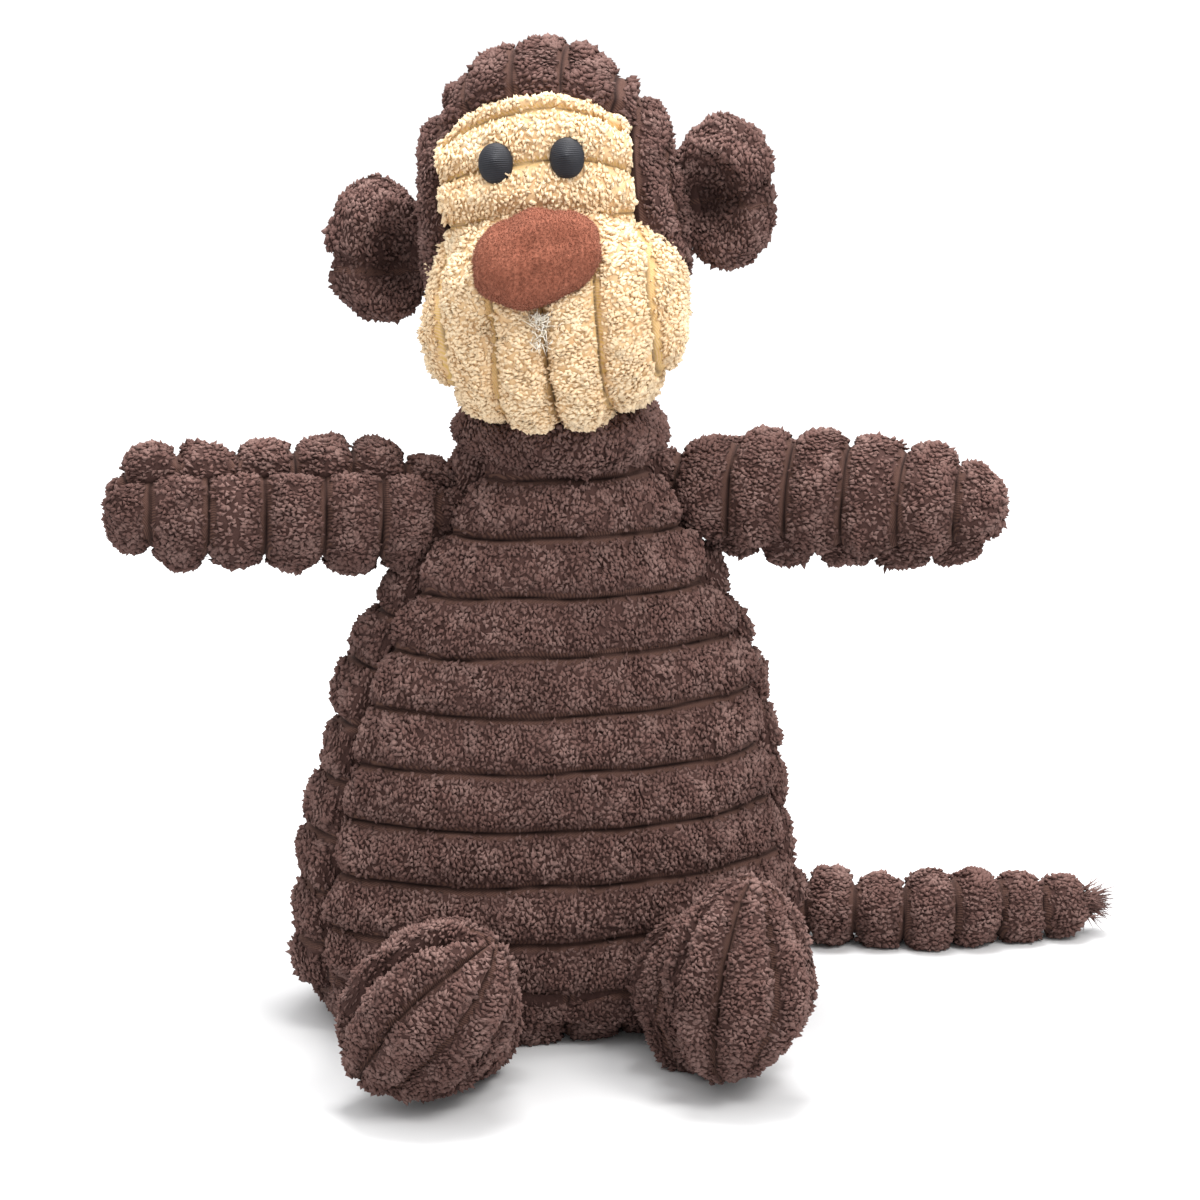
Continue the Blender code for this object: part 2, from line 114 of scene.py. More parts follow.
# Body: (height, half width, half depth)
BODY_OUTLINE = np.array((
    (0.000, 0.0490, 0.0270),
    (0.006, 0.0545, 0.0330),
    (0.020, 0.0580, 0.0370),
    (0.037, 0.0570, 0.0360),
    (0.056, 0.0535, 0.0340),
    (0.075, 0.0490, 0.0310),
    (0.093, 0.0425, 0.0270),
    (0.108, 0.0340, 0.0235),
    (0.120, 0.0265, 0.0210),
    (0.134, 0.0200, 0.0180),
))
BODY_TOP = 0.130
BODY_SPAN = (0.0045, 0.134)
BODY_LEAN = np.array((0.004, 0.002))
BODY_GROOVE = 0.0254
BODY_PITCH = 0.01265
FRONT_SEAM = {"right": 22.5, "left": 17.0}
BACK_SHIFT = 0.45
BASE_RIM = (0.0, 0.72, 1.0)
BASE_HALF_WIDTH = (0.0, 0.0470, 0.0555)
BASE_HALF_DEPTH = (0.0, 0.0260, 0.0350)
BASE_LIFT = 0.0085
COLLAR_RADIUS = 0.0170
COLLAR_HALF = (0.0068, 0.0066)
COLLAR_PITCH = 0.016
PLUG_HALF = np.array((0.0180, 0.0180, 0.0100))
PLUG_RISE = 0.0145

# Head, in its own frame: X to the toy's left, Y backwards, Z up
HEAD_HALF = np.array((0.0282, 0.026, 0.0394))
FACE_EDGE = 0.22
FACE_TOP = -53.0
FACE_CHIN = 72.0
NAPE = 108.0
CROWN_PITCH = 0.0112
BROW_GROOVE = -25.2
EAR_SET_BACK = 0.003
MUZZLE_CENTRE = np.array((0.0006, -0.0125, -0.0175))
MUZZLE_HALF = np.array((0.0286, 0.0260, 0.0265))
MUZZLE_PITCH = 0.0121
NOSE_HALF = np.array((0.0142, 0.0108, 0.0062))
NOSE_RISE = 33.0
NOSE_ROLL = 13.0
EYE_HALF = np.array((0.0036, 0.0043, 0.0013))
EYE_CLOSER = 0.84
EYE_LEAN = 75.0
EYE_POINTS = 110
EYE_PAD = 0.0014
STITCH_WIDTH = 0.00042
STITCH_SLANT = 40.0
STITCH_RISE = 0.00020
EAR_HALF = np.array((0.0112, 0.0062, 0.0162))
EAR_ROOT = 0.0072
EAR_RIM = 0.0036
EAR_HOLLOW = 0.0088
EAR_CREASE = 0.0030
EAR_CURL = 0.0025
FLUFF_COUNT = 110
FLUFF_LENGTH = (0.0010, 0.0034)
FLUFF_RADIUS = 0.00015

# Limbs and tail
ARM_RADIUS = 0.0142
ARM_ROUND = 2.7
ARM_END = 0.0595
SLEEVE_TAPER = 0.6
ARM_MIDDLE = 0.029
SLEEVE_START = -0.022
BEND_REACH = 0.016
ARM_AZIMUTH = {"right": 178.0, "left": -20.0}
ARM_RISE = {"right": 1.5, "left": -1.5}
ARM_SEAM = {"right": -40.0, "left": -35.0}
FOOT_HALF = np.array((0.0155, 0.0152, 0.0256))
FOOT_CENTRE = {"right": (-0.0355, -0.0680, 0.0226), "left": (0.0320, -0.0685, 0.0259)}
FOOT_TURN = {"right": 16.0, "left": 18.0}
FOOT_TILT = {"right": 33.0, "left": 10.0}
FOOT_PITCH = {"right": 26.0, "left": -2.0}
FOOT_WALES = 4
SLEEVE_RADIUS = 0.0160
TAIL_RADIUS = 0.0078
TAIL_TIP_RADIUS = 0.0056
TAIL_PITCH = 0.0113
TAIL_ROOT = 0.0098
TAIL_START = -0.004
TAIL_NARROWING = 0.022
TAIL_CLOSING = 0.006
TIP_COUNT = 260
TIP_SPREAD = 0.0013
TIP_LENGTH = (0.004, 0.0085)
TIP_RADIUS = 0.00035

# Camera and light
VIEW_AZIMUTH = -9.0
VIEW_ELEVATION = 14.0
VIEW_DISTANCE = 1.0
VIEW_WIDTH = 0.270
VIEW_TARGET = Vector((0.01156, -0.00583, 0.0962))
DOME_LOW = 0.55
DOME_HIGH = 2.30
PAPER = 0.568
FLOOR_HALF = 6.0
LIGHTS = (
    ("key", (0.45, -0.70, 1.05), 0.40, 9.0, (1.0, 0.99, 0.97)),
    ("top", (0.05, 0.12, 1.10), 0.45, 11.0, (1.0, 1.0, 1.0)),
)

# Filled by plant() and made into pieces by build_pile(): (name, rides, looks, samples at the roots)
PILE = []


# ---------------- numbers

def smoothstep(low, high, value):
    share = np.clip((value - low) / (high - low), 0.0, 1.0)
    return share * share * (3.0 - 2.0 * share)


def scatter(first, second, seed):
    """A repeatable random value from 0 to 1 for each pair of whole numbers."""
    value = np.sin(first * 127.1 + second * 311.7 + seed * 74.7) * 43758.5453
    return value - np.floor(value)


def unit(ways):
    """Each vector at length 1."""
    return ways / np.linalg.norm(ways, axis=-1, keepdims=True)


def ripple(points, size, seed):
    """Smooth noise from -1 to 1: a few waves of about that size in random directions."""
    random = np.random.default_rng(seed)
    total = np.zeros(points.shape[:-1])
    waves = 7
    for _ in range(waves):
        way = random.normal(size=3)
        way /= np.linalg.norm(way)
        length = size * random.uniform(0.7, 1.5)
        total += np.sin(points @ way * 2.0 * math.pi / length + random.uniform(0.0, 6.28))
    return total / math.sqrt(waves)


def spline(at, knots, values):
    """A smooth curve through the values at the knots."""
    knots = np.asarray(knots, float)
    values = np.asarray(values, float)
    slopes = np.gradient(values, knots, axis=0)
    index = np.clip(np.searchsorted(knots, at) - 1, 0, len(knots) - 2)
    span = knots[index + 1] - knots[index]
    share = (at - knots[index]) / span
    extra = (1,) * (values.ndim - 1)
    share = share.reshape(share.shape + extra)
    span = span.reshape(span.shape + extra)
    square, cube = share ** 2, share ** 3
    start = (2 * cube - 3 * square + 1) * values[index]
    start += (cube - 2 * square + share) * span * slopes[index]
    end = (3 * square - 2 * cube) * values[index + 1]
    end += (cube - square) * span * slopes[index + 1]
    return start + end


def run_length(points, axis):
    """Distance along the grid's rows or columns from their start."""
    steps = np.linalg.norm(np.diff(points, axis=axis), axis=-1)
    total = np.cumsum(steps, axis=axis)
    return np.concatenate((np.zeros_like(np.take(total, [0], axis=axis)), total), axis=axis)


def axes_matrix(x, y, z, origin):
    """A frame from its three axes and its origin."""
    matrix = Matrix((Vector(x), Vector(y), Vector(z))).transposed().to_4x4()
    matrix.translation = Vector(origin)
    return matrix


def moved(points, matrix):
    """The points, or a grid of them, through a 4 x 4 matrix."""
    full = np.array(matrix)
    return points @ full[:3, :3].T + full[:3, 3]


# ---------------- forms

def signed_power(value, power):
    return np.sign(value) * np.abs(value) ** power


def cushion(half, squareness=2.0, fullness=2.0):
    """A stuffed form with its poles on Z."""
    def point(turn, along):
        latitude = np.pi * (along - 0.5)
        across = np.abs(np.cos(latitude)) ** (2.0 / fullness)
        x = half[0] * across * signed_power(np.cos(turn), 2.0 / squareness)
        y = half[1] * across * signed_power(np.sin(turn), 2.0 / squareness)
        z = half[2] * signed_power(np.sin(latitude), 2.0 / fullness)
        return np.stack((x, y, z), axis=-1)
    return point


def body_form(turn, height):
    """The stuffed body's skin at a height; the turn goes round Z from the toy's left."""
    half_width = spline(height, BODY_OUTLINE[:, 0], BODY_OUTLINE[:, 1])
    half_depth = spline(height, BODY_OUTLINE[:, 0], BODY_OUTLINE[:, 2])
    lean = (height / BODY_TOP) ** 2
    x = BODY_LEAN[0] * lean + half_width * np.cos(turn)
    y = BODY_LEAN[1] * lean + half_depth * np.sin(turn)
    return np.stack((x, y, height), axis=-1)


def head_form(turn, along):
    """Poles at the ears; the turn goes round the X axis, 0 ahead and negative upwards."""
    form = cushion((HEAD_HALF[1], HEAD_HALF[2], HEAD_HALF[0]), 2.1, 2.3)
    point = form(turn, along)
    return np.stack((point[..., 2], -point[..., 0], -point[..., 1]), axis=-1)


def muzzle_form(turn, along):
    """Rays fanned round the nose's axis: along is the angle from it, 1 for a half turn."""
    angle = np.pi * along
    x = -np.sin(angle) * np.cos(turn)
    level, out = np.sin(angle) * np.sin(turn), np.cos(angle)
    rise = math.radians(NOSE_RISE)
    y = level * math.sin(rise) - out * math.cos(rise)
    z = level * math.cos(rise) + out * math.sin(rise)
    ring = (np.abs(x / MUZZLE_HALF[0]) ** 2.4 + np.abs(z / MUZZLE_HALF[2]) ** 2.4) ** (2.2 / 2.4)
    radius = (ring + np.abs(y / MUZZLE_HALF[1]) ** 2.2) ** (-1 / 2.2)
    return np.stack((x, y, z), axis=-1) * radius[..., None] + MUZZLE_CENTRE


def grid(form, turns, alongs=(0.0, 1.0), matrix=None):
    """A grid of points on a form, about GRAIN apart, with each point's own turn and along."""
    turns = np.radians(turns)
    probe_t, probe_a = np.meshgrid(np.linspace(*turns, 40), np.linspace(*alongs, 40))
    probe = form(probe_t, probe_a)
    columns = int(run_length(probe, 1)[:, -1].max() / GRAIN) + 2
    rows = int(run_length(probe, 0)[-1].max() / GRAIN) + 2
    turn, along = np.meshgrid(np.linspace(*turns, columns), np.linspace(*alongs, rows))
    points = form(turn, along)
    if matrix is not None:
        points = moved(points, matrix)
    return points, turn, along


def normals_of(points):
    """Outward unit normals of a grid."""
    across = np.gradient(points, axis=1)
    up = np.gradient(points, axis=0)
    normal = np.cross(across, up)
    size = np.linalg.norm(normal, axis=-1, keepdims=True)
    middle = points.reshape(-1, 3).mean(axis=0)
    solid = size[..., 0] > 1e-12
    normal = np.where(size > 1e-12, normal / np.maximum(size, 1e-12), 0.0)
    if (normal * (points - middle)).sum() < 0:
        normal = -normal
    for row in np.flatnonzero(~solid.all(axis=1)):
        inner = min(row + 1, len(points) - 2) if row < len(points) // 2 else max(row - 1, 1)
        normal[row] = normal[inner].mean(axis=0)
        normal[row] /= np.linalg.norm(normal[row, 0]) + 1e-12
    return normal


# ---------------- meshes

def add_piece(name, vertices, faces, material, values=None, spots=None, smooth=True):
    """A mesh object from arrays. values are its per-point attributes, spots its bake layout."""
    mesh = bpy.data.meshes.new(name)
    sides = faces.shape[1]
    mesh.vertices.add(len(vertices))
    mesh.vertices.foreach_set("co", np.ascontiguousarray(vertices, np.float32).ravel())
    mesh.loops.add(faces.size)
    mesh.loops.foreach_set("vertex_index", faces.astype(np.int32).ravel())
    mesh.polygons.add(len(faces))
    mesh.polygons.foreach_set("loop_start", np.arange(0, faces.size, sides, dtype=np.int32))
    mesh.update(calc_edges=True)
    for key, data in (values or {}).items():
        attribute = mesh.attributes.new(key, "FLOAT", "POINT")
        attribute.data.foreach_set("value", np.ascontiguousarray(data, np.float32).ravel())
    if spots is not None:
        layer = mesh.uv_layers.new(name="OFBake")
        layer.uv.foreach_set("vector", spots[faces.ravel()].astype(np.float32).ravel())
    if smooth:
        mesh.shade_smooth()
    mesh.materials.append(material)
    item = bpy.data.objects.new(name, mesh)
    bpy.context.scene.collection.objects.link(item)
    return item


def grid_faces(rows, columns, flip):
    corner = np.arange((rows - 1) * columns).reshape(rows - 1, columns)[:, :-1].ravel()
    faces = np.stack((corner, corner + 1, corner + columns + 1, corner + columns), axis=1)
    return faces[:, ::-1] if flip else faces


def grid_piece(name, points, normal, values, material):
    """A grid of points as a mesh, with its faces turned outwards."""
    rows, columns = points.shape[:2]
    across, up = points[rows // 2, columns // 2 + 1], points[rows // 2 + 1, columns // 2]
    centre = points[rows // 2, columns // 2]
    way = np.cross(across - centre, up - centre)
    flip = way @ normal[rows // 2, columns // 2] < 0
    u, v = np.meshgrid(np.linspace(0.01, 0.99, columns), np.linspace(0.01, 0.99, rows))
    spots = np.stack((u.ravel(), v.ravel()), axis=1)
    faces = grid_faces(rows, columns, flip)
    return add_piece(name, points.reshape(-1, 3), faces, material, values, spots)


def hemmed(surface, normal, values):
    """Turns a panel's edges inwards, so that nothing shows behind them at a seam."""
    for axis in (0, 1):
        pad = [(1, 1) if k == axis else (0, 0) for k in range(2)]
        normal = np.pad(normal, pad + [(0, 0)], mode="edge")
        surface = np.pad(surface, pad + [(0, 0)], mode="edge")
        values = {key: np.pad(data, pad, mode="edge") for key, data in values.items()}
        ends = (slice(None),) * axis + (np.array((0, -1)),)
        surface[ends] -= normal[ends] * HEM
    surface[..., 2] = np.maximum(surface[..., 2], CLOTH_FLOOR)
    return surface, normal, values


def plush(name, points, wale, edge, looks, seed, rides, pitch=PITCH, rise=WALE_RISE,
          narrowing=1.0, extra=0.0, tuck=SEAM_TUCK, groove=GROOVE_HALF, step=TUFT_STEP):
    """A plush panel from a grid: wales, seam tuck and wrinkles pushed out of the form, and tufts on top.

    wale counts wales across the fabric, with a groove at each whole number, and edge is the
    distance to the nearest seam. narrowing is how much narrower than pitch the wales are there,
    and extra moves the whole panel outwards.
    """
    normal = normals_of(points)
    wale = wale + WALE_DRIFT * ripple(points, WALE_DRIFT_SIZE, seed + 3)
    share = wale - np.floor(wale)
    to_groove = np.minimum(share, 1.0 - share) * pitch * narrowing
    crown = (1.0 - np.abs(2.0 * share - 1.0) ** WALE_FLATNESS) ** WALE_FULLNESS
    own_rise = WALE_LOWEST + WALE_VARIETY * scatter(np.floor(wale), np.zeros_like(wale), seed)
    sewn = smoothstep(0.0, SEAM_REACH, edge)
    bare = smoothstep(0.65 * groove, 1.15 * groove, to_groove)
    at_seam = WALE_AT_SEAM + (1.0 - WALE_AT_SEAM) * sewn
    push = rise * crown * own_rise * at_seam * np.minimum(narrowing, 1.0)
    push += WRINKLE * ripple(points, WRINKLE_SIZE, seed + 7) * sewn
    push += PUCKER * ripple(points, PUCKER_SIZE, seed + 9) * np.exp(-edge / PUCKER_REACH) * sewn
    push += UNEVEN * ripple(points, UNEVEN_SIZE, seed + 5) * bare
    push -= tuck * (1.0 - sewn) + rise * WALE_SINK + 0.45 * TUFT_HEIGHT - extra
    surface = points + normal * push[..., None]
    surface[..., 2] = np.maximum(surface[..., 2], CLOTH_FLOOR)
    # pile at 0 gives the backing the painted shade of the gaps between tufts; crown drives the painted
    # shade on each wale's low sides, and groove the woven backing and the painted shadow line down each
    # groove
    depth = np.clip(1.0 - to_groove / (1.4 * groove), 0.0, 1.0)
    nothing = np.zeros_like(bare)
    values = {"pile": nothing, "groove": depth, "tone": nothing, "crown": crown}
    item = grid_piece(name, *hemmed(surface, normal, values), looks)
    across = wale_direction(surface, wale)
    plant(surface, normal, across, bare * (0.75 + 0.25 * sewn), crown, looks, seed, rides, name, step)
    return item


def wale_direction(surface, wale):
    """The direction across the wales at each point of a grid."""
    column_step, row_step = np.gradient(surface, axis=1), np.gradient(surface, axis=0)
    total = np.zeros(surface.shape)
    for step, axis in ((column_step, 1), (row_step, 0)):
        size = np.maximum((step ** 2).sum(axis=-1), 1e-12)
        total += step * (np.gradient(wale, axis=axis) / size)[..., None]
    return total / np.maximum(np.linalg.norm(total, axis=-1, keepdims=True), 1e-9)


def sample(values, row, column):
    """A grid's values at places between its points."""
    low_row = np.minimum(row.astype(int), values.shape[0] - 2)
    low_column = np.minimum(column.astype(int), values.shape[1] - 2)
    r, c = row - low_row, column - low_column
    if values.ndim == 3:
        r, c = r[:, None], c[:, None]
    top = values[low_row, low_column] * (1 - c) + values[low_row, low_column + 1] * c
    bottom = values[low_row + 1, low_column] * (1 - c) + values[low_row + 1, low_column + 1] * c
    return top * (1 - r) + bottom * r


def plant(surface, normal, across, share, crown, looks, seed, rides, name, step=TUFT_STEP):
    """Remembers a panel's tufts: a jittered lattice of roots, thinned where the grid narrows."""
    random = np.random.default_rng(seed + 11)
    rows, columns = surface.shape[:2]
    lines = int(run_length(surface, 0)[-1].max() / step)
    places = int(run_length(surface, 1)[:, -1].max() / step)
    column, row = np.meshgrid(np.arange(places), np.arange(lines))
    row = (row.ravel() + random.uniform(0.0, 1.0, row.size)) / lines * (rows - 1)
    column = (column.ravel() + random.uniform(0.0, 1.0, column.size)) / places * (columns - 1)
    cell = np.cross(np.gradient(surface, axis=1), np.gradient(surface, axis=0))
    area = np.linalg.norm(cell, axis=-1) * (rows - 1) / lines * (columns - 1) / places
    chance = sample(area, row, column) / step ** 2 * sample(share, row, column)
    kept = random.uniform(0.0, 1.0, row.size) < chance * 1.15
    row, column = row[kept], column[kept]
    found = [sample(grid_values, row, column) for grid_values in (surface, normal, across, crown)]
    PILE.append((name.replace("_plush", ""), rides, looks, found))


def tufts(name, root, normal, across, crown, looks, seed):
    """Tufts as one mesh: each is a closed, leaning, three-sided bud, longer across its wale."""
    random = np.random.default_rng(seed)
    count = len(root)
    across = across - normal * (across * normal).sum(axis=1, keepdims=True)
    across /= np.maximum(np.linalg.norm(across, axis=1, keepdims=True), 1e-9)
    twist = random.normal(size=(count, 1)) * TUFT_TWIST
    sideways = np.cross(normal, across)
    long_way = across * np.cos(twist) + sideways * np.sin(twist)
    short_way = np.cross(normal, long_way)
    length = TUFT_LENGTH * random.uniform(*LENGTH_SPREAD, (count, 1))
    width = TUFT_WIDTH * random.uniform(*WIDTH_SPREAD, (count, 1))
    brushed = ripple(root, BRUSHED_SIZE, seed + 31)[:, None]
    parted = ripple(root, PARTED_SIZE, seed + 32)[:, None]
    height = TUFT_HEIGHT * random.uniform(*HEIGHT_SPREAD, (count, 1)) * (1.0 + PARTED_HEIGHT * parted)
    lean = random.normal(size=(count, 3)) * TUFT_SCATTER + across * (TUFT_LEAN + BRUSHED_LEAN * brushed)
    lean = lean + sideways * PARTED_LEAN * parted
    first = random.uniform(0.0, 2.0 * math.pi, (count, 1))
    parts = []
    for rise, swell, shift in ((-0.30, 0.75, 0.0), (0.45, 1.0, 0.45)):
        middle = root + normal * height * rise + lean * shift
        for index in range(3):
            angle = first + 2.0 * math.pi * index / 3.0
            spread = long_way * length * np.cos(angle) + short_way * width * np.sin(angle)
            parts.append(middle + spread * swell)
    parts.append(root + normal * height + lean)
    vertices = np.stack(parts, axis=1)
    vertices[..., 2] = np.maximum(vertices[..., 2], PILE_FLOOR)
    shape = [(i, (i + 1) % 3, 3 + (i + 1) % 3) for i in range(3)]
    shape += [(i, 3 + (i + 1) % 3, 3 + i) for i in range(3)]
    shape += [(3 + i, 3 + (i + 1) % 3, 6) for i in range(3)]
    shape += [(0, 2, 1)]
    corners = ((0.1, 0.1), (0.9, 0.1), (0.5, 0.9)) * 2 + ((0.5, 0.5),)
    patch = ripple(root, TONE_SIZE, seed + 33)
    tone = np.clip(0.5 * random.uniform(0.0, 1.0, count) + 0.25 + 0.40 * patch, 0.0, 1.0)
    # pile rises from 0 at the root to 1 at the tip, for the painted shade down into the gaps between
    # tufts
    values = {
        "pile": np.tile((0.0,) * 3 + (0.6,) * 3 + (1.0,), count),
        "groove": np.zeros(count * TUFT_CORNERS),
        "tone": np.repeat(tone, TUFT_CORNERS),
        "crown": np.repeat(crown, TUFT_CORNERS),
    }
    return many(name, vertices, np.array(shape), corners, looks, values, True)


def many(name, vertices, shape, corners, looks, values, smooth):
    """One mesh of many small bodies that all have the same faces."""
    count, size = vertices.shape[:2]
    faces = (np.arange(count)[:, None, None] * size + shape[None]).reshape(-1, 3)
    place = np.arange(count)
    across = int(math.sqrt(count)) + 1
    spot = np.stack((place % across, place // across), axis=1) / across
    spots = (spot[:, None] + np.array(corners)[None] / across).reshape(-1, 2)
    return add_piece(name, vertices.reshape(-1, 3), faces, looks, values, spots, smooth)


def cones(name, root, way, length, tone, looks, radius):
    """Loose fibres as one mesh: each is a closed three-sided cone, sunk a little at its root."""
    count = len(root)
    helper = np.where(np.abs(way[:, 2:]) < 0.9, (0.0, 0.0, 1.0), (1.0, 0.0, 0.0))
    side = unit(np.cross(way, helper))
    other = np.cross(way, side)
    base = root - way * length[:, None] * CONE_SUNK
    parts = []
    for index in range(3):
        angle = 2.0 * math.pi * index / 3.0
        parts.append(base + radius * (side * math.cos(angle) + other * math.sin(angle)))
    parts.append(root + way * length[:, None])
    vertices = np.stack(parts, axis=1)
    vertices[..., 2] = np.maximum(vertices[..., 2], PILE_FLOOR)
    shape = np.array(((0, 1, 3), (1, 2, 3), (2, 0, 3), (0, 2, 1)))
    corners = ((0.1, 0.1), (0.9, 0.1), (0.1, 0.9), (0.5, 0.5))
    # pile is lower at the root than at the tip, for the painted shade down into the pile
    values = {
        "pile": np.tile((0.35, 0.35, 0.35, 1.0), count),
        "groove": np.zeros(count * CONE_CORNERS),
        "tone": np.repeat(tone, CONE_CORNERS),
        "crown": np.full(count * CONE_CORNERS, 0.9),
    }
    return many(name, vertices, shape, corners, looks, values, False)


# ---------------- materials

def mix_colour(tree, share, first, second):
    """A node's colour between two, each a colour or a socket."""
    node = tree.nodes.new("ShaderNodeMix")
    node.data_type = "RGBA"
    tree.links.new(share, node.inputs["Factor"])
    for value, socket in ((first, node.inputs["A"]), (second, node.inputs["B"])):
        if isinstance(value, tuple):
            socket.default_value = (*value, 1.0)
        else:
            tree.links.new(value, socket)
    return node.outputs["Result"]


def attribute_of(tree, key):
    """A per-point value of the mesh."""
    node = tree.nodes.new("ShaderNodeAttribute")
    node.attribute_name = key
    return node.outputs["Fac"]


def noise_of(tree, scale, detail=2.0):
    """Noise in the piece's own coordinates; scale is per metre."""
    place = tree.nodes.new("ShaderNodeTexCoord")
    node = tree.nodes.new("ShaderNodeTexNoise")
    node.inputs["Scale"].default_value = scale
    node.inputs["Detail"].default_value = detail
    tree.links.new(place.outputs["Object"], node.inputs["Vector"])
    return node.outputs["Fac"]


def twill_of(tree, scale):
    """Fine slanting threads."""
    place = tree.nodes.new("ShaderNodeTexCoord")
    node = tree.nodes.new("ShaderNodeTexWave")
    node.bands_direction = "DIAGONAL"
    node.inputs["Scale"].default_value = scale
    node.inputs["Distortion"].default_value = 1.5
    tree.links.new(place.outputs["Object"], node.inputs["Vector"])
    return node.outputs["Fac"]


def remap(tree, value, low, high, to_low=0.0, to_high=1.0):
    """The value's way from low to high as a way from to_low to to_high."""
    node = tree.nodes.new("ShaderNodeMapRange")
    tree.links.new(value, node.inputs["Value"])
    node.inputs["From Min"].default_value = low
    node.inputs["From Max"].default_value = high
    node.inputs["To Min"].default_value = to_low
    node.inputs["To Max"].default_value = to_high
    return node.outputs["Result"]


def start_material(name, roughness, sheen):
    """A cloth-like shader, in a material named with _look after the given name."""
    material = bpy.data.materials.new(name + "_look")
    material.use_nodes = True
    shader = material.node_tree.nodes["Principled BSDF"]
    shader.inputs["Roughness"].default_value = roughness
    shader.inputs["Specular IOR Level"].default_value = 0.15
    shader.inputs["Sheen Weight"].default_value = sheen
    shader.inputs["Sheen Roughness"].default_value = 0.6
    return material, material.node_tree, shader


def add_bump(tree, shader, value, distance):
    node = tree.nodes.new("ShaderNodeBump")
    node.inputs["Strength"].default_value = 0.6
    node.inputs["Distance"].default_value = distance
    tree.links.new(value, node.inputs["Height"])
    tree.links.new(node.outputs["Normal"], shader.inputs["Normal"])


def plush_material(name, shaded_gap, tip, light, thread, sheen):
    """Knotted pile, with painted shade: dark down between the tufts and on each wale's low sides, light
    at the tuft tips; bare woven backing in the grooves, with a painted shadow line down their middle.
    """
    material, tree, shader = start_material(name, 0.95, sheen)
    pile, groove = attribute_of(tree, "pile"), attribute_of(tree, "groove")
    tone, crown = attribute_of(tree, "tone"), attribute_of(tree, "crown")
    # painted shade: darker from each tuft's tip down to its root and into the gaps between tufts
    tuft = mix_colour(tree, remap(tree, pile, 0.0, 0.9), shaded_gap, tip)
    lit = mix_colour(tree, remap(tree, tone, 0.3, 1.0, 0.0, 0.5), tuft, light)
    # painted shade: each wale darker on its low sides, towards its grooves
    low = mix_colour(tree, remap(tree, crown, 0.35, 0.95, 0.55, 0.0), lit, shaded_gap)
    patchy = mix_colour(tree, remap(tree, noise_of(tree, 70.0), 0.40, 0.75, 0.0, 0.35), low, shaded_gap)
    woven = mix_colour(tree, remap(tree, twill_of(tree, 900.0), 0.35, 0.75), shaded_gap, thread)
    trimmed = mix_colour(tree, remap(tree, groove, 0.15, 0.45), patchy, woven)
    # painted shadow: a near-black line down the middle of each groove
    groove_shadow = tuple(value * 0.35 for value in shaded_gap)
    final = mix_colour(tree, remap(tree, groove, 0.70, 0.95), trimmed, groove_shadow)
    tree.links.new(final, shader.inputs["Base Color"])
    shader.inputs["Sheen Tint"].default_value = (*light, 1.0)
    add_bump(tree, shader, noise_of(tree, 2600.0, 3.0), 0.0003)
    return material


def velour_material():
    material, tree, shader = start_material("rust_velour", 0.85, 0.2)
    fine = noise_of(tree, 1500.0, 3.0)
    wide = noise_of(tree, 160.0)
    first = mix_colour(tree, remap(tree, fine, 0.3, 0.7), (0.150, 0.045, 0.026), (0.310, 0.110, 0.068))
    final = mix_colour(tree, remap(tree, wide, 0.35, 0.7, 0.0, 0.5), first, (0.210, 0.064, 0.037))
    tree.links.new(final, shader.inputs["Base Color"])
    shader.inputs["Sheen Tint"].default_value = (0.8, 0.45, 0.33, 1.0)
    add_bump(tree, shader, fine, 0.0003)
    return material


def thread_material():
    material, tree, shader = start_material("black_thread", 0.55, 0.0)
    shader.inputs["Specular IOR Level"].default_value = 0.3
    # painted highlight and shade: lighter on the stitches' ridge tops, darker in the valleys between them
    share = remap(tree, attribute_of(tree, "pile"), 0.0, 1.0)
    final = mix_colour(tree, share, (0.004, 0.004, 0.006), (0.016, 0.017, 0.023))
    tree.links.new(final, shader.inputs["Base Color"])
    add_bump(tree, shader, noise_of(tree, 3000.0), 0.0001)
    return material


def fluff_material():
    material, tree, shader = start_material("white_fluff", 0.9, 0.2)
    share = remap(tree, attribute_of(tree, "tone"), 0.0, 1.0)
    final = mix_colour(tree, share, (0.90, 0.80, 0.62), (0.98, 0.96, 0.90))
    tree.links.new(final, shader.inputs["Base Color"])
    return material


BROWN = plush_material("brown_plush", shaded_gap=(0.054, 0.027, 0.023), tip=(0.150, 0.082, 0.071),
                       light=(0.290, 0.187, 0.166), thread=(0.115, 0.060, 0.045), sheen=0.12)
TAN = plush_material("tan_plush", shaded_gap=(0.660, 0.450, 0.250), tip=(0.900, 0.710, 0.480),
                     light=(0.940, 0.800, 0.580), thread=(0.600, 0.400, 0.140), sheen=0.12)
VELOUR = velour_material()
THREAD = thread_material()
FLUFF = fluff_material()


def declare(item, rides, nodes):
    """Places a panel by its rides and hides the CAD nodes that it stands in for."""
    place_on(item, rides)
    if nodes:
        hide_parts(*nodes)


def place_on(item, rides):
    """rides is a body's name, whose empty the piece is attached to, or (body, next body, start, end)
    where the piece would bend, and then its transform is only baked in.
    """
    if isinstance(rides, str):
        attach(item, rides)
    else:
        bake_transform(item)


def side_seams(points):
    """Distance to the nearer of a grid's two side edges."""
    run = run_length(points, 1)
    return np.minimum(run, run[:, -1:] - run)


def end_seams(points, first=True, last=True):
    """Distance to the grid's first and last rows."""
    run = run_length(points, 0)
    far = np.full(run.shape, 1.0)
    to_first = run if first else far
    to_last = run[-1:] - run if last else far
    return np.minimum(to_first, to_last)


# ---------------- body

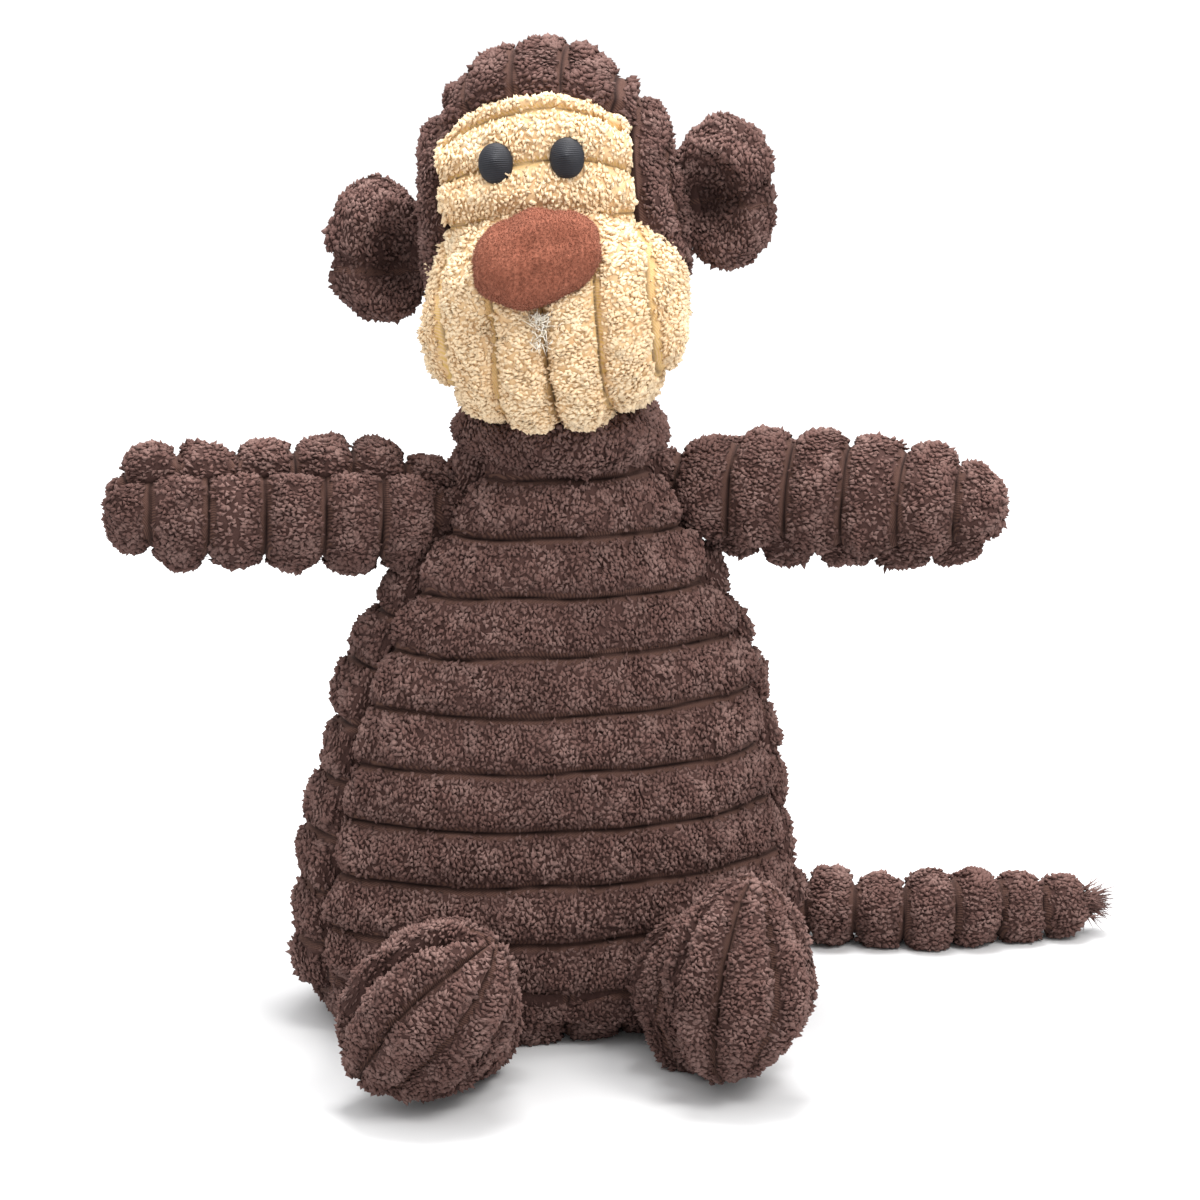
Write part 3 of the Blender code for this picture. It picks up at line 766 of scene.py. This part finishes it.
def build_body():
    """The front and back panels, whose wales don't meet at the side seams."""
    seams = 180 + FRONT_SEAM["right"], 360 - FRONT_SEAM["left"]
    panels = (
        ("body_front_panel", seams[0], seams[1], 0.0, ["body_front_panel", "body_filling"]),
        ("body_back_panel", seams[1] - 360, seams[0], BACK_SHIFT, ["body_back_panel"]),
    )
    for index, (name, first, last, shift, nodes) in enumerate(panels):
        points, _, height = grid(body_form, (first, last), BODY_SPAN)
        wale = (height - BODY_GROOVE) / BODY_PITCH + shift
        edge = np.minimum(side_seams(points), end_seams(points, True, False))
        step = TUFT_STEP if index == 0 else BACK_TUFT_STEP
        item = plush(name + "_plush", points, wale, edge, BROWN, 10 + 20 * index, "body", step=step)
        declare(item, "body", nodes)


def base_form(turn, share):
    """The seat: flat on the floor, then a turned-up rim."""
    half_width = np.interp(share, BASE_RIM, BASE_HALF_WIDTH)
    half_depth = np.interp(share, BASE_RIM, BASE_HALF_DEPTH)
    height = 0.0010 + BASE_LIFT * smoothstep(0.68, 1.0, share)
    return np.stack((half_width * np.cos(turn), half_depth * np.sin(turn), height), axis=-1)


def build_base():
    points, *_ = grid(base_form, (90, 450), (0.02, 1.0))
    wale = points[..., 0] / PITCH
    edge = np.minimum(side_seams(points) + 0.002, end_seams(points, False, True))
    item = plush("body_base_panel_plush", points, wale, edge, BROWN, 50, "body", extra=0.0026)
    declare(item, "body", ["body_base_panel"])


def neck_form(turn, share):
    """A rolled collar round the neck."""
    angle = np.radians(-80 + 160 * share)
    out, up = COLLAR_HALF
    radius = COLLAR_RADIUS + out * np.cos(angle)
    x, y, z = JOINTS["neck_turn"]["pos_m"]
    height = z + 0.0040 + up * np.sin(angle)
    return np.stack((x + radius * np.cos(turn), y + radius * np.sin(turn), height), axis=-1)


def build_neck():
    """The collar, and the plug that fills it under the head."""
    points, _, share = grid(neck_form, (90, 450))
    wale = 0.08 + 0.84 * share
    item = plush("neck_band_plush", points, wale, side_seams(points), BROWN, 70, "neck_collar",
                 rise=0.0008, pitch=COLLAR_PITCH)
    declare(item, "neck_collar", ["neck_band"])

    x, y, z = JOINTS["head_nod"]["pos_m"]
    plug = cushion(PLUG_HALF, 2.0, 2.4)
    place = Matrix.Translation((x, y, max(z, BODY_TOP + PLUG_RISE)))
    points, *_ = grid(plug, (90, 450), matrix=place)
    wale = points[..., 0] / PITCH + 0.5
    edge = side_seams(points) + SEAM_REACH
    item = plush("neck_core_plush", points, wale, edge, BROWN, 74, "neck_core", rise=0.0012, extra=0.0002)
    declare(item, "neck_core", ["neck_filling"])


# ---------------- head

def head_matrix():
    """The head's own frame, from the neck's and the ears' hinges."""
    z = Vector(JOINTS["ear_right_flop"]["axis"]).normalized()
    y = Vector(JOINTS["neck_tilt"]["axis"]).normalized()
    x = y.cross(z)
    left, right = (Vector(JOINTS[f"ear_{side}_flop"]["pos_m"]) for side in ("left", "right"))
    return axes_matrix(x, y, z, (left + right) / 2 - y * EAR_SET_BACK)


def build_head(matrix):
    """The face, the crown panel that goes over to the nape, and the two sides round the ears."""
    across = (FACE_EDGE, 1 - FACE_EDGE)
    points, turn, _ = grid(head_form, (FACE_TOP, FACE_CHIN), across, matrix)
    wale = np.degrees(turn - math.radians(BROW_GROOVE)) / math.degrees(PITCH / HEAD_HALF[2])
    edge = np.minimum(side_seams(points), end_seams(points))
    item = plush("face_panel_plush", points, wale, edge, TAN, 90, "head",
                 rise=0.0026, extra=0.0004, tuck=0.0010, groove=0.0012)
    declare(item, "head", ["face_panel", "head_filling"])

    points, *_ = grid(head_form, (NAPE - 360, FACE_TOP), across, matrix)
    wale = moved(points, matrix.inverted())[..., 0] / CROWN_PITCH + 0.35
    edge = np.minimum(side_seams(points), end_seams(points))
    item = plush("head_crown_panel_plush", points, wale, edge, BROWN, 110, "head",
                 pitch=CROWN_PITCH, rise=0.0019, extra=0.0006, tuck=0.0010)
    declare(item, "head", ["head_crown_panel"])

    for index, (side, first) in enumerate((("right", 0.0), ("left", 1.0))):
        last = FACE_EDGE if first == 0.0 else 1 - FACE_EDGE
        points, *_ = grid(head_form, (110, 470), (first, last), matrix)
        run = run_length(points, 0)
        wale = (run - run[-1:]) / PITCH
        edge = np.minimum(side_seams(points) + 0.0015, end_seams(points, False, True))
        item = plush(f"head_side_{side}_plush", points, wale, edge, BROWN, 130 + 20 * index, "head",
                     rise=0.0020, extra=0.0014, tuck=0.0010)
        declare(item, "head", [f"head_side_{side}"])


def build_muzzle(matrix):
    """Ribs run up from the chin beside the nose and arch over it; a seam runs down below it."""
    panels = (
        ("muzzle_upper", 17, 163, 0.62, ["muzzle_upper_panel", "muzzle_filling"]),
        ("muzzle_lower_left", 163, 270, 0.80, ["muzzle_lower_left_panel"]),
        ("muzzle_lower_right", 270, 377, 0.80, ["muzzle_lower_right_panel"]),
    )
    nose_way = Matrix.Rotation(math.radians(90 - NOSE_RISE), 4, "X")
    nose_frame = Matrix.Translation(Vector(MUZZLE_CENTRE)) @ nose_way
    for name, first, last, reach, nodes in panels:
        local, *_ = grid(muzzle_form, (first, last), (0.02, reach))
        flat = moved(local, nose_frame.inverted())
        wale = np.hypot(flat[..., 0], np.maximum(flat[..., 1], 0.0)) / MUZZLE_PITCH
        points = moved(local, matrix)
        edge = np.abs(flat[..., 0]) + 0.0012 + 0.02 * smoothstep(-0.004, 0.004, flat[..., 1])
        item = plush(name + "_plush", points, wale, edge, TAN, 170, "head",
                     pitch=MUZZLE_PITCH, rise=0.0034, groove=0.0012)
        declare(item, "head", nodes)


def box_middle(node):
    low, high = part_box(node)
    return (low + high) / 2


def build_nose(matrix):
    """A padded oval of short-pile velour."""
    turn_way = Matrix.Rotation(math.radians(90 - NOSE_RISE), 4, "X")
    roll = Matrix.Rotation(math.radians(NOSE_ROLL), 4, "Z")
    place = Matrix.Translation(box_middle("nose")) @ matrix.to_3x3().to_4x4() @ turn_way @ roll
    points, *_ = grid(cushion(NOSE_HALF, 2.1, 2.2), (0.0, 360.0))
    points = moved(points, place)
    normal = normals_of(points)
    push = 0.0005 * ripple(points, 0.010, 5)
    push[:, -1] = push[:, 0]
    surface = points + normal * push[..., None]
    share = 0.5 + 0.5 * ripple(points, 0.002, 8)
    values = {"pile": share, "groove": 0 * share, "tone": share, "crown": 0 * share + 1}
    item = grid_piece("nose_velour", surface, normal, values, VELOUR)
    declare(item, "head", ["nose"])
    plant(surface, normal, normal, 0 * share + 1.0, share, VELOUR, 230, "head", "nose", VELOUR_STEP)


def build_eyes(matrix):
    """Satin stitch: threads side by side over a low oval pad."""
    lean = Matrix.Rotation(math.radians(EYE_LEAN), 4, "X")
    squeeze = Matrix.Diagonal((EYE_CLOSER, 1.0, 1.0, 1.0))
    turns = np.linspace(0, 2 * math.pi, 2 * EYE_POINTS)
    turn, along = np.meshgrid(turns, np.linspace(0.0, 1.0, EYE_POINTS))
    for side in ("right", "left"):
        centre = matrix @ squeeze @ matrix.inverted() @ box_middle(f"eye_{side}")
        place = Matrix.Translation(centre) @ matrix.to_3x3().to_4x4() @ lean
        points = cushion(EYE_HALF, 2.1, 2.0)(turn, along)
        thread = np.abs(np.sin(points[..., 1] * math.pi / STITCH_WIDTH + STITCH_SLANT * points[..., 0]))
        away = points / np.maximum(np.linalg.norm(points, axis=-1, keepdims=True), 1e-9)
        rise = EYE_PAD + STITCH_RISE * thread[..., None] * (away[..., 2:] > -0.2)
        surface = moved(points + away * rise * np.array((0.12, 0.12, 1.0)), place)
        # pile is each stitch's ridge, for the thread's painted highlight on its top and painted shade
        # between stitches
        values = {"pile": thread, "groove": 0 * thread, "tone": thread, "crown": thread}
        item = grid_piece(f"eye_{side}_stitching", surface, normals_of(surface), values, THREAD)
        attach(item, "head")
        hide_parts(f"eye_{side}")


def ear_form(sign):
    """A cupped disc: a full rim round a hollow near the head, creased between two lobes."""
    base = cushion(EAR_HALF, 2.0, 2.2)

    def point(turn, along):
        disc = base(turn, along)
        x, y, z = (disc[..., k] / EAR_HALF[k] for k in range(3))
        out = x * sign
        reach = np.hypot((out + 0.34) / 1.10, (z + 0.08) * 0.95)
        front = np.clip(-1.6 * y, 0.0, 1.0)
        rim = np.exp(-((reach - 0.74) / 0.24) ** 2)
        hollow = np.exp(-(reach / 0.36) ** 2)
        crease = np.exp(-((z + 0.20 - 0.30 * out) / 0.09) ** 2) * smoothstep(-0.3, 0.3, out)
        forward = front * (EAR_RIM * rim - EAR_HOLLOW * hollow - EAR_CREASE * crease)
        outer = np.clip(out, 0.0, 1.0)
        narrow = 1.0 - 0.12 * crease * outer
        back = disc[..., 1] - forward - EAR_CURL * outer ** 2
        return np.stack((disc[..., 0] * narrow, back, disc[..., 2]), axis=-1)

    return point


def build_ears(matrix):
    for index, (side, sign) in enumerate((("right", -1), ("left", 1))):
        place = matrix.to_3x3().to_4x4()
        place.translation = Vector(JOINTS[f"ear_{side}_flop"]["pos_m"])
        place = place @ Matrix.Translation(Vector((sign * EAR_ROOT, 0.0, 0.0)))
        for part, first, last in (("front", 180, 360), ("back", 0, 180)):
            seed = 250 + 40 * index + (20 if part == "back" else 0)
            points, *_ = grid(ear_form(sign), (first, last), matrix=place)
            local = moved(points, place.inverted())
            wale = local[..., 2] / (2 * PITCH) + 0.12
            item = plush(f"ear_{side}_{part}_plush", points, wale, side_seams(points), BROWN, seed,
                         f"ear_{side}", pitch=2 * PITCH, rise=0.0010, extra=0.0004, tuck=0.0008,
                         groove=0.0005)
            declare(item, f"ear_{side}", [f"ear_{side}_{part}"])


# ---------------- limbs

def arm_matrix(side):
    """Z along the arm, Y backwards."""
    azimuth, rise = math.radians(ARM_AZIMUTH[side]), math.radians(ARM_RISE[side])
    z = Vector((math.cos(azimuth) * math.cos(rise), math.sin(azimuth) * math.cos(rise), math.sin(rise)))
    y = (Vector((0, 1, 0)) - z * z.y).normalized()
    return axes_matrix(y.cross(z), y, z, JOINTS[f"shoulder_{side}_swing"]["pos_m"])


def arm_form(turn, at):
    """A tube from inside the body to a full, round tip; at is the distance from the hinge."""
    share = np.clip((at - ARM_MIDDLE) / (ARM_END - ARM_MIDDLE), 0.0, 1.0)
    angle = share * math.pi / 2
    tip = ARM_MIDDLE + (ARM_END - ARM_MIDDLE) * np.sin(angle) ** (2 / ARM_ROUND)
    run = np.where(share > 0, tip, at)
    inside = np.clip(at / SLEEVE_START, 0.0, 1.0)
    radius = ARM_RADIUS * np.maximum(np.cos(angle), 0.0) ** (2 / ARM_ROUND)
    radius = radius * (1.0 - SLEEVE_TAPER * inside ** 2)
    return np.stack((radius * np.cos(turn), radius * np.sin(turn), run), axis=-1)


def build_arms():
    """Each arm's two panels, each as a sleeve up to the hinge and a length beyond it."""
    for index, side in enumerate(("right", "left")):
        roll = Matrix.Rotation(math.radians(ARM_SEAM[side]), 4, "Z")
        place = arm_matrix(side) @ roll
        hinge, way = place.translation, place.col[2].to_3d()
        inner = ("body", f"shoulder_{side}", tuple(hinge - way * BEND_REACH), tuple(hinge))
        outer = (f"shoulder_{side}", f"arm_{side}", tuple(hinge), tuple(hinge + way * BEND_REACH))
        for part, first, last in (("front", 180, 360), ("back", 0, 180)):
            seed = 330 + 40 * index + (20 if part == "back" else 0)
            shift = 0.75 if part == "front" else 1.25
            sleeve_nodes, arm_nodes = [], [f"arm_{side}_{part}_panel"]
            if part == "front":
                sleeve_nodes.append(f"shoulder_{side}_filling")
                arm_nodes.append(f"arm_{side}_filling")
            lengths = (
                (f"shoulder_{side}_{part}_plush", SLEEVE_START, 0.0, inner, sleeve_nodes),
                (f"arm_{side}_{part}_plush", 0.0, ARM_END, outer, arm_nodes),
            )
            for name, start, end, rides, nodes in lengths:
                points, *_ = grid(arm_form, (first, last), (start, end), place)
                local = moved(points, place.inverted())
                wale = (local[..., 2] - ARM_END) / PITCH + shift
                item = plush(name, points, wale, side_seams(points), BROWN, seed, rides,
                             tuck=0.0003, rise=0.0038)
                declare(item, rides, nodes)


def foot_matrix(side):
    """Z along the foot, from its lower tip to its upper one."""
    way = Matrix.Rotation(math.radians(FOOT_TURN[side]), 4, "Z")
    way = way @ Matrix.Rotation(math.radians(FOOT_TILT[side]), 4, "Y")
    way = way @ Matrix.Rotation(math.radians(FOOT_PITCH[side]), 4, "X")
    return Matrix.Translation(Vector(FOOT_CENTRE[side])) @ way


def build_legs():
    """Each foot's sole and upper panels, and the stub that joins it to the body."""
    form = cushion(FOOT_HALF, 2.0, 1.7)
    sleeve = cushion((SLEEVE_RADIUS, SLEEVE_RADIUS, SLEEVE_RADIUS * 1.25), 2.0, 2.4)
    for index, side in enumerate(("right", "left")):
        place = foot_matrix(side)
        body = f"leg_{side}"
        for part, first, last in (("sole", 180, 360), ("upper", 0, 180)):
            seed = 410 + 60 * index + (20 if part == "upper" else 0)
            points, turn, _ = grid(form, (first, last), matrix=place)
            local = moved(points, place.inverted())
            radius = np.linalg.norm(local[..., :2], axis=-1)
            wale = FOOT_WALES * turn / math.pi
            narrowing = np.clip(radius * math.pi / FOOT_WALES / PITCH, 0.0, 1.1)
            item = plush(f"foot_{side}_{part}_plush", points, wale, side_seams(points), BROWN, seed, body,
                         narrowing=narrowing, rise=0.0046, extra=0.0016, tuck=0.0024, groove=0.0011)
            nodes = [f"foot_{side}_{part}_panel"]
            if part == "sole":
                nodes.append(f"leg_{side}_filling")
            declare(item, body, nodes)
        centre = Matrix.Translation(Vector(JOINTS[f"leg_{side}_lift"]["pos_m"]))
        way = centre @ Matrix.Rotation(math.radians(90), 4, "X")
        points, *_ = grid(sleeve, (-90, 270), matrix=way)
        local = moved(points, way.inverted())
        item = plush(f"leg_{side}_sleeve_plush", points, local[..., 2] / PITCH + 0.3, side_seams(points),
                     BROWN, 450 + 60 * index, f"hip_{side}", extra=0.0006)
        declare(item, f"hip_{side}", [f"hip_{side}_filling"])


# ---------------- tail

def tail_line():
    """The tail's middle line: its hinges, then the end of its raw tip."""
    knots = [Vector(JOINTS[name]["pos_m"]) for name in ("tail_sweep", "tail_lift", "tail_curl")]
    low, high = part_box("tail_end")
    knots.append(Vector((high.x - 0.001, (low.y + high.y) / 2 + 0.001, knots[0].z)))
    run = np.concatenate(((0.0,), np.cumsum([(b - a).length for a, b in zip(knots, knots[1:])])))
    return run, np.array([tuple(k) for k in knots])


def build_tail():
    """Three lengths of one beaded tube, each round its own hinge, and a bead at the root."""
    run, knots = tail_line()
    cuts = (TAIL_START, run[1] / 2, (run[1] + run[2]) / 2, run[3])
    pairs = (("body", "tail_base"), ("tail_base", "tail_middle"), ("tail_middle", "tail_end"))
    nodes = ("tail_base", "tail_middle", "tail_end")

    def tube(turn, at):
        middle = spline(at, run, knots)
        ahead = unit(spline(at + 0.0005, run, knots) - spline(at - 0.0005, run, knots))
        side = unit(np.cross(ahead, (0.0, 0.0, 1.0)))
        over = np.cross(side, ahead)
        narrow = smoothstep(run[3] - TAIL_NARROWING, run[3], at)
        radius = TAIL_RADIUS + (TAIL_TIP_RADIUS - TAIL_RADIUS) * narrow
        radius = radius * (1.0 - 0.55 * smoothstep(run[3] - TAIL_CLOSING, run[3], at))
        around = side * np.cos(turn)[..., None] + over * np.sin(turn)[..., None]
        return middle + radius[..., None] * around

    for index, (pair, node) in enumerate(zip(pairs, nodes)):
        first, last = cuts[index], cuts[index + 1]
        points, _, at = grid(tube, (-90, 270), (first, last))
        wale = (at - 0.002) / TAIL_PITCH
        hinge = knots[index]
        ahead = spline(np.array([run[index] + 0.001]), run, knots)[0] - hinge
        ahead /= np.linalg.norm(ahead)
        reach = 0.010 if index == 0 else 0.016
        rides = (*pair, tuple(hinge - ahead * reach), tuple(hinge + ahead * reach))
        item = plush(f"tail_{index}_plush", points, wale, side_seams(points) + 0.001, BROWN, 550, rides,
                     pitch=TAIL_PITCH, rise=0.0040, extra=0.0014)
        declare(item, rides, [node])

    root = cushion((TAIL_ROOT, TAIL_ROOT, TAIL_ROOT), 2.0, 2.0)
    place = Matrix.Translation(Vector(knots[0]))
    points, *_ = grid(root, (90, 450), matrix=place)
    wale = (points[..., 0] - knots[0][0]) / TAIL_PITCH + 0.5
    edge = side_seams(points) + SEAM_REACH
    item = plush("tail_root_plush", points, wale, edge, BROWN, 580, "body",
                 pitch=TAIL_PITCH, rise=0.0020, extra=0.0006)
    declare(item, "body", [])
    build_tail_tip(spline(np.array([run[3] - 0.002]), run, knots)[0], ahead)


def build_tail_tip(root, ahead):
    """The raw end: a spray of backing threads and pile."""
    random = np.random.default_rng(610)
    way = unit(ahead + random.normal(size=(TIP_COUNT, 3)) * 0.45)
    base = root + random.normal(size=(TIP_COUNT, 3)) * TIP_SPREAD
    base[:, 2] = np.maximum(base[:, 2], 0.002)
    length = random.uniform(*TIP_LENGTH, TIP_COUNT)
    tone = random.uniform(0, 1, TIP_COUNT)
    item = cones("tail_tuft_threads", base, way, length, tone, BROWN, TIP_RADIUS)
    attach(item, "tail_end")
    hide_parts("tail_tuft")


def build_fluff(matrix):
    """Loose white backing fluff where the two lower muzzle panels meet under the nose."""
    random = np.random.default_rng(620)
    along = np.radians(25.0 + 17.0 * random.uniform(0.0, 1.0, FLUFF_COUNT) ** 2) / math.pi
    turn = np.radians(270) + random.normal(size=FLUFF_COUNT) * 0.09
    root = moved(muzzle_form(turn, along), matrix)
    ahead = -np.array(matrix.col[1][:3])
    way = unit(ahead + random.normal(size=(FLUFF_COUNT, 3)) * 1.1)
    root = root + ahead * 0.0002
    length = random.uniform(*FLUFF_LENGTH, FLUFF_COUNT)
    tone = random.uniform(0, 1, FLUFF_COUNT)
    item = cones("muzzle_seam_fluff", root, way, length, tone, FLUFF, FLUFF_RADIUS)
    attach(item, "head")


def build_pile():
    """Each panel's tufts, and the nose's fibres, as one piece that moves as the panel does."""
    for index, (name, rides, looks, found) in enumerate(PILE):
        root, normal, across, crown = found
        if looks == VELOUR:
            random = np.random.default_rng(700)
            way = unit(normal + random.normal(size=normal.shape) * 0.7)
            length = VELOUR_LENGTH * random.uniform(0.4, 1.0, len(root))
            item = cones(name + "_fibres", root, way, length, crown, looks, VELOUR_RADIUS)
        else:
            item = tufts(name + "_tufts", root, normal, across, crown, looks, 700 + index)
        place_on(item, rides)


# ---------------- stage

def add_area_light(name, place, size, power, colour):
    """A soft disk of light, aimed at the middle of the picture."""
    light = bpy.data.lights.new(name, "AREA")
    light.shape = "DISK"
    light.size = size
    light.energy = power
    light.color = colour
    item = bpy.data.objects.new(name, light)
    bpy.context.scene.collection.objects.link(item)
    item.location = place
    item.rotation_euler = (VIEW_TARGET - Vector(place)).to_track_quat("-Z", "Y").to_euler()


def build_world():
    """A studio dome: brightest overhead, dimmer towards the horizon."""
    world = bpy.data.worlds.new("studio")
    bpy.context.scene.world = world
    world.use_nodes = True
    tree = world.node_tree
    place = tree.nodes.new("ShaderNodeTexCoord")
    split = tree.nodes.new("ShaderNodeSeparateXYZ")
    tree.links.new(place.outputs["Generated"], split.inputs["Vector"])
    strength = remap(tree, split.outputs["Z"], 0.0, 1.0, DOME_LOW, DOME_HIGH)
    background = tree.nodes["Background"]
    background.inputs["Color"].default_value = (1.0, 1.0, 1.0, 1.0)
    tree.links.new(strength, background.inputs["Strength"])


def build_stage():
    """A plain pale floor, the dome and two soft lights."""
    half = FLOOR_HALF
    corners = np.array(((-half, -half, 0), (half, -half, 0), (half, half, 0), (-half, half, 0)))
    material, tree, shader = start_material("paper", 0.9, 0.0)
    share = remap(tree, noise_of(tree, 3.0), 0.0, 1.0)
    darker = (PAPER, PAPER, PAPER * 1.01)
    lighter = (PAPER * 1.02, PAPER * 1.02, PAPER * 1.03)
    paper = mix_colour(tree, share, darker, lighter)
    tree.links.new(paper, shader.inputs["Base Color"])
    floor = add_piece("floor", corners, np.array(((0, 1, 2, 3),)), material, smooth=False)
    build_world()
    for light in LIGHTS:
        add_area_light(*light)
    bpy.context.scene.view_settings.view_transform = "Standard"


def build_camera():
    azimuth, elevation = math.radians(VIEW_AZIMUTH), math.radians(VIEW_ELEVATION)
    camera = bpy.data.cameras.new("camera")
    camera.sensor_width = 36.0
    camera.lens = 36.0 * VIEW_DISTANCE / VIEW_WIDTH
    item = bpy.data.objects.new("camera", camera)
    bpy.context.scene.collection.objects.link(item)
    back = Vector((0, -math.cos(elevation), math.sin(elevation)))
    item.location = VIEW_TARGET + Matrix.Rotation(azimuth, 3, "Z") @ back * VIEW_DISTANCE
    item.rotation_euler = (math.pi / 2 - elevation, 0.0, azimuth)
    bpy.context.scene.camera = item


def main():
    build_body()
    build_base()
    build_neck()
    matrix = head_matrix()
    build_head(matrix)
    build_muzzle(matrix)
    build_nose(matrix)
    build_eyes(matrix)
    build_ears(matrix)
    build_arms()
    build_legs()
    build_tail()
    build_fluff(matrix)
    build_pile()
    build_stage()
    build_camera()


main()
